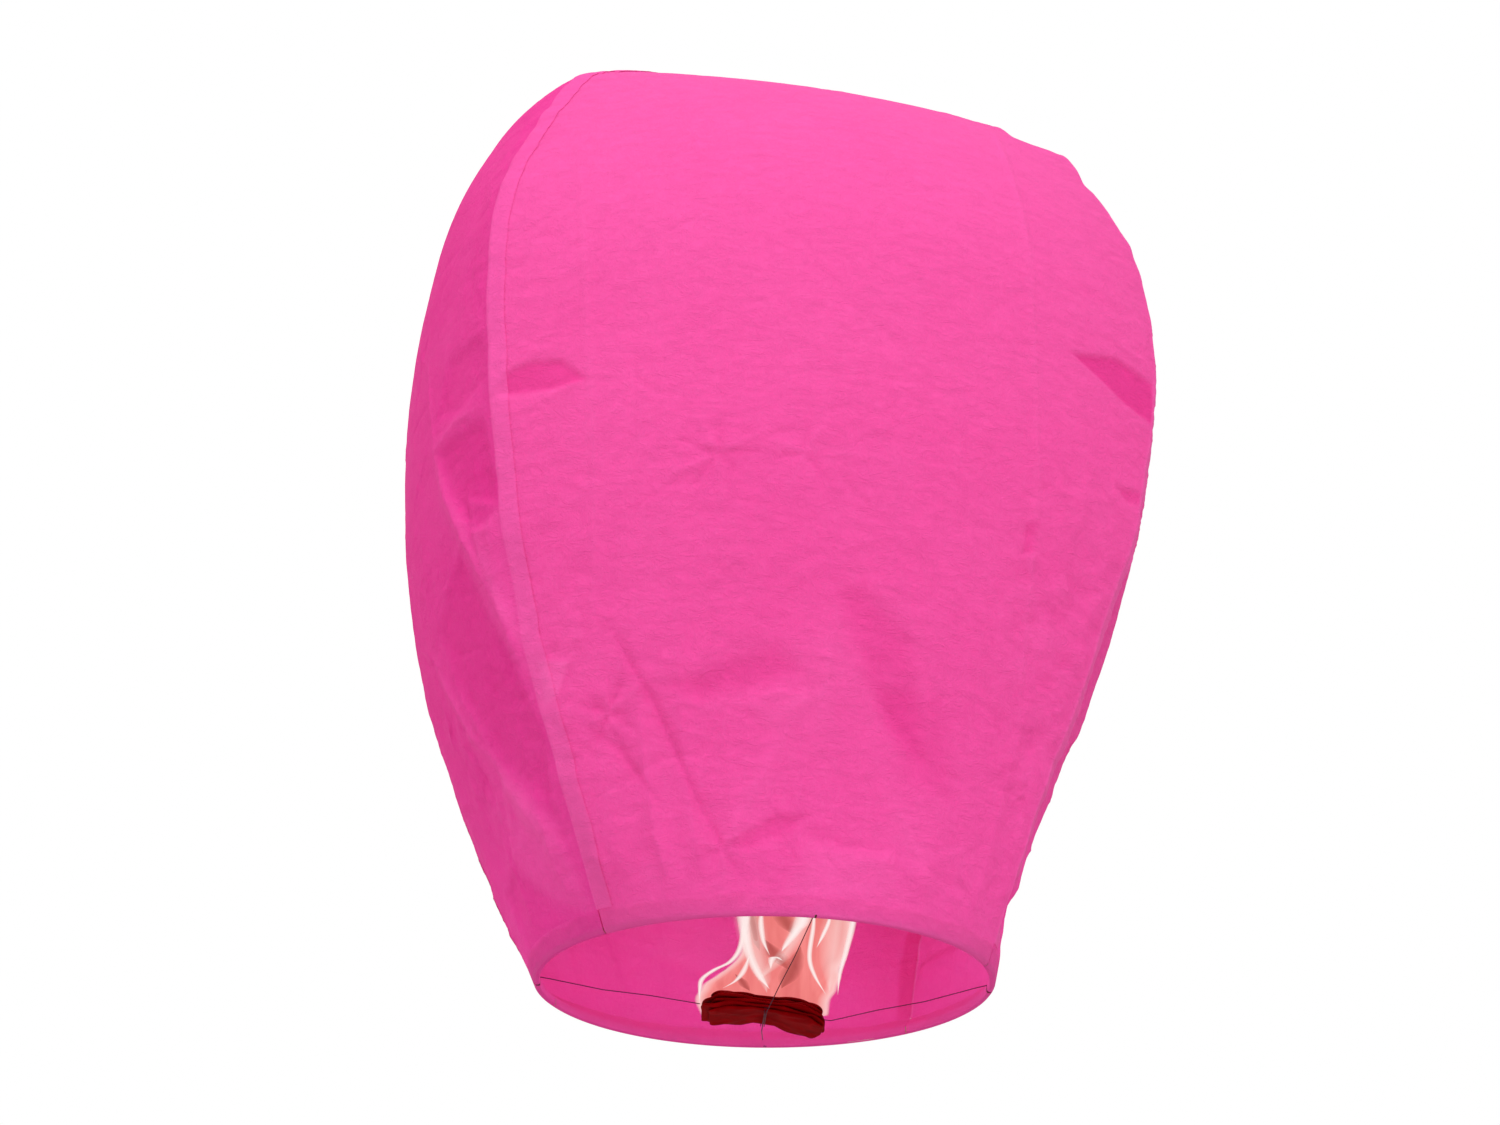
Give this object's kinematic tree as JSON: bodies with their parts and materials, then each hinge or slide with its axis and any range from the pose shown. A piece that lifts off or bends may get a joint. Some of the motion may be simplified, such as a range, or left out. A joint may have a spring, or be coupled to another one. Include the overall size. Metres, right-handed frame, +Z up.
{
  "type": "sky lantern",
  "caption": "Paper sky lantern: lapped paper gores on a bamboo hoop, with a waxed fuel pad tied on crossed wires in its open mouth.",
  "frame": {"origin": "middle of the hoop, in the plane of the hem's underside", "axes": "+Z up from the hoop to the crown; the wide front gore faces -Y; +X is to the right seen from the front"},
  "size_m": [0.6442, 0.5369, 0.8542],
  "materials": {
    "pink_paper": "matt, translucent, crinkled",
    "bamboo": "split bamboo, bare",
    "splice_paper": "plain gummed paper",
    "wire": "dull annealed iron wire",
    "waxed_pad": "wax-soaked, satin"
  },
  "bodies": {
    "envelope": {"front_gore": "pink_paper", "back_gore": "pink_paper", "left_gore": "pink_paper", "right_gore": "pink_paper", "hoop_strip": "bamboo", "hoop_splice_tape": "splice_paper", "carrying_wire": "wire", "cross_wire": "wire"},
    "crown": {"crown_patch": "pink_paper"},
    "fuel_pad": {"fuel_layer_1": "waxed_pad", "fuel_layer_2": "waxed_pad", "fuel_layer_3": "waxed_pad", "fuel_layer_4": "waxed_pad", "fuel_layer_5": "waxed_pad", "pad_tie_wire": "wire"}
  },
  "joints": [
    {"name": "envelope_collapse", "type": "slide", "parent": "envelope", "child": "crown", "axis": [0, 0, -1], "range_m": [0, 0.6], "deforming": ["front_gore", "back_gore", "left_gore", "right_gore"]},
    {"name": "fuel_pad_rock", "type": "hinge", "parent": "envelope", "child": "fuel_pad", "pos_m": [0, 0, -0.022], "axis": [0.9719, -0.2066, -0.1132], "range_deg": [-8, 8]}
  ]
}
